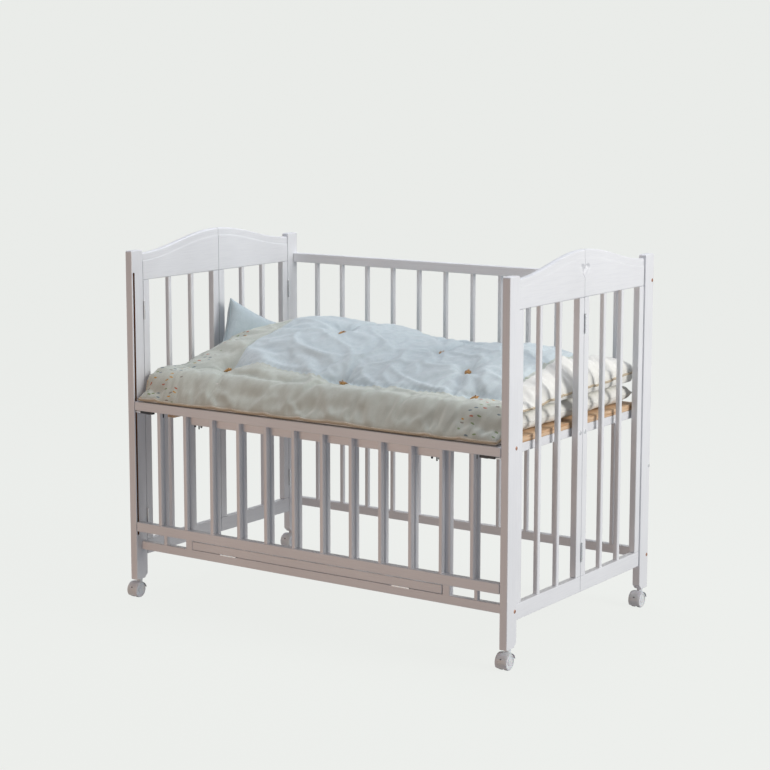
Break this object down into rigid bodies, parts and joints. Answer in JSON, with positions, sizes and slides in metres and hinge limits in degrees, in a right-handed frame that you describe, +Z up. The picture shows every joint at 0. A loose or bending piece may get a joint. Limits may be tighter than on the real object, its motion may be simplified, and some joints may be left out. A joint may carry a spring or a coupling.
{
  "type": "baby crib",
  "caption": "White wooden baby crib with arched folding ends, a drop gate, a storage door, a lift-out slatted base, quilted bedding and swivel casters.",
  "frame": {"origin": "centre of the bounding box at floor level, under the middle of the crib", "axes": "+X to the right end, +Y to the rear side, -Y to the gate side, +Z up"},
  "size_m": [1.2566, 0.777, 1.0295],
  "materials": {
    "white_paint": "beech sprayed with satin white lacquer",
    "bare_pine": "planed bare pine",
    "zinc_steel": "zinc-plated steel",
    "dark_steel": "black oxide steel",
    "white_plastic": "moulded white nylon",
    "cotton_white": "plain white cotton",
    "linen_blue": "light blue chambray"
  },
  "bodies": {
    "root": {"post_rear_left": "white_paint", "post_rear_right": "white_paint", "rear_top_rail": "white_paint", "rear_baluster_rail": "white_paint", "hinge_left_rear_lower": "zinc_steel", "hinge_left_rear_upper": "zinc_steel", "hinge_right_rear_lower": "zinc_steel", "hinge_right_rear_upper": "zinc_steel"},
    "left_rear_leaf": {"left_rear_board": "white_paint", "left_rear_rail": "white_paint", "left_rear_post_stile": "white_paint", "left_rear_centre_stile": "white_paint", "hinge_left_centre_lower": "zinc_steel", "hinge_left_centre_upper": "zinc_steel"},
    "left_front_leaf": {"left_front_board": "white_paint", "left_front_rail": "white_paint", "left_front_post_stile": "white_paint", "left_front_centre_stile": "white_paint"},
    "right_rear_leaf": {"right_rear_board": "white_paint", "right_rear_rail": "white_paint", "right_rear_post_stile": "white_paint", "right_rear_centre_stile": "white_paint", "hinge_right_centre_lower": "zinc_steel", "hinge_right_centre_upper": "zinc_steel"},
    "right_front_leaf": {"right_front_board": "white_paint", "right_front_rail": "white_paint", "right_front_post_stile": "white_paint", "right_front_centre_stile": "white_paint"},
    "front_side": {"post_front_left": "white_paint", "post_front_right": "white_paint", "front_top_rail": "white_paint", "front_lower_frame": "white_paint", "door_top_rail": "white_paint", "door_baluster_rail": "white_paint", "door_hinge_left": "zinc_steel", "door_hinge_right": "zinc_steel", "hinge_left_front_lower": "zinc_steel", "hinge_left_front_upper": "zinc_steel", "hinge_right_front_lower": "zinc_steel", "hinge_right_front_upper": "zinc_steel"},
    "gate": {"gate_top_rail": "white_paint", "gate_baluster_rail": "white_paint"},
    "latch_left": {"gate_latch_left": "dark_steel"},
    "latch_right": {"gate_latch_right": "dark_steel"},
    "base": {"base_frame": "white_paint", "base_slats": "bare_pine", "base_batten_left": "bare_pine", "base_batten_right": "bare_pine"},
    "bedding": {"mattress": "cotton_white", "quilt": "linen_blue", "pillow": "linen_blue"},
    "swivel_front_left": {"caster_front_left": "white_plastic"},
    "wheel_front_left": {"wheels_front_left": "white_plastic"},
    "swivel_front_right": {"caster_front_right": "white_plastic"},
    "wheel_front_right": {"wheels_front_right": "white_plastic"},
    "swivel_rear_left": {"caster_rear_left": "white_plastic"},
    "wheel_rear_left": {"wheels_rear_left": "white_plastic"},
    "swivel_rear_right": {"caster_rear_right": "white_plastic"},
    "wheel_rear_right": {"wheels_rear_right": "white_plastic"}
  },
  "joints": [
    {"name": "end_fold", "type": "hinge", "parent": "root", "child": "left_rear_leaf", "pos_m": [-0.597, 0.3407, 0.5], "axis": [0, 0, 1], "range_deg": [0, 88], "deforming": ["base_frame", "base_slats", "base_batten_left", "base_batten_right", "mattress", "quilt", "pillow"]},
    {"name": "left_centre_fold", "type": "hinge", "parent": "left_rear_leaf", "child": "left_front_leaf", "pos_m": [-0.622, 0.0065, 0.5], "axis": [0, 0, 1], "range_deg": [-176, 0]},
    {"name": "left_front_fold", "type": "hinge", "parent": "left_front_leaf", "child": "front_side", "pos_m": [-0.597, -0.3277, 0.5], "axis": [0, 0, 1], "range_deg": [0, 88]},
    {"name": "right_rear_fold", "type": "hinge", "parent": "root", "child": "right_rear_leaf", "pos_m": [0.597, 0.3407, 0.5], "axis": [0, 0, 1], "range_deg": [-88, 0]},
    {"name": "right_centre_fold", "type": "hinge", "parent": "right_rear_leaf", "child": "right_front_leaf", "pos_m": [0.622, 0.0065, 0.5], "axis": [0, 0, 1], "range_deg": [0, 176]},
    {"name": "base_lift", "type": "slide", "parent": "root", "child": "base", "axis": [0, 0, 1], "range_m": [0, 0.54]},
    {"name": "bedding_lift", "type": "slide", "parent": "base", "child": "bedding", "axis": [0, 0, 1], "range_m": [0, 0.25]},
    {"name": "gate_slide", "type": "slide", "parent": "front_side", "child": "gate", "axis": [0, 0, 1], "range_m": [0, 0.3615]},
    {"name": "latch_left_slide", "type": "slide", "parent": "gate", "child": "latch_left", "axis": [1, 0, 0], "range_m": [0, 0.0075], "stiffness_N_per_m": 400, "springref_m": -0.002},
    {"name": "latch_right_slide", "type": "slide", "parent": "gate", "child": "latch_right", "axis": [-1, 0, 0], "range_m": [0, 0.0075], "stiffness_N_per_m": 400, "springref_m": -0.002},
    {"name": "swivel_front_left_turn", "type": "hinge", "parent": "front_side", "child": "swivel_front_left", "pos_m": [-0.61125, -0.352, 0.05], "axis": [0, 0, 1], "continuous": true},
    {"name": "wheel_front_left_roll", "type": "hinge", "parent": "swivel_front_left", "child": "wheel_front_left", "pos_m": [-0.61125, -0.364, 0.02181], "axis": [1, 0, 0], "continuous": true},
    {"name": "swivel_front_right_turn", "type": "hinge", "parent": "front_side", "child": "swivel_front_right", "pos_m": [0.61125, -0.352, 0.05], "axis": [0, 0, 1], "continuous": true},
    {"name": "wheel_front_right_roll", "type": "hinge", "parent": "swivel_front_right", "child": "wheel_front_right", "pos_m": [0.61125, -0.364, 0.02181], "axis": [1, 0, 0], "continuous": true},
    {"name": "swivel_rear_left_turn", "type": "hinge", "parent": "root", "child": "swivel_rear_left", "pos_m": [-0.61125, 0.365, 0.05], "axis": [0, 0, 1], "continuous": true},
    {"name": "wheel_rear_left_roll", "type": "hinge", "parent": "swivel_rear_left", "child": "wheel_rear_left", "pos_m": [-0.61125, 0.353, 0.02181], "axis": [1, 0, 0], "continuous": true},
    {"name": "swivel_rear_right_turn", "type": "hinge", "parent": "root", "child": "swivel_rear_right", "pos_m": [0.61125, 0.365, 0.05], "axis": [0, 0, 1], "continuous": true},
    {"name": "wheel_rear_right_roll", "type": "hinge", "parent": "swivel_rear_right", "child": "wheel_rear_right", "pos_m": [0.61125, 0.353, 0.02181], "axis": [1, 0, 0], "continuous": true}
  ],
  "couplings": [
    {"joint": "left_centre_fold", "follows": "end_fold", "ratio": -2},
    {"joint": "left_front_fold", "follows": "end_fold", "ratio": 1},
    {"joint": "right_rear_fold", "follows": "end_fold", "ratio": -1},
    {"joint": "right_centre_fold", "follows": "end_fold", "ratio": 2},
    {"joint": "base_lift", "follows": "end_fold", "m_per_rad": 0.35}
  ]
}
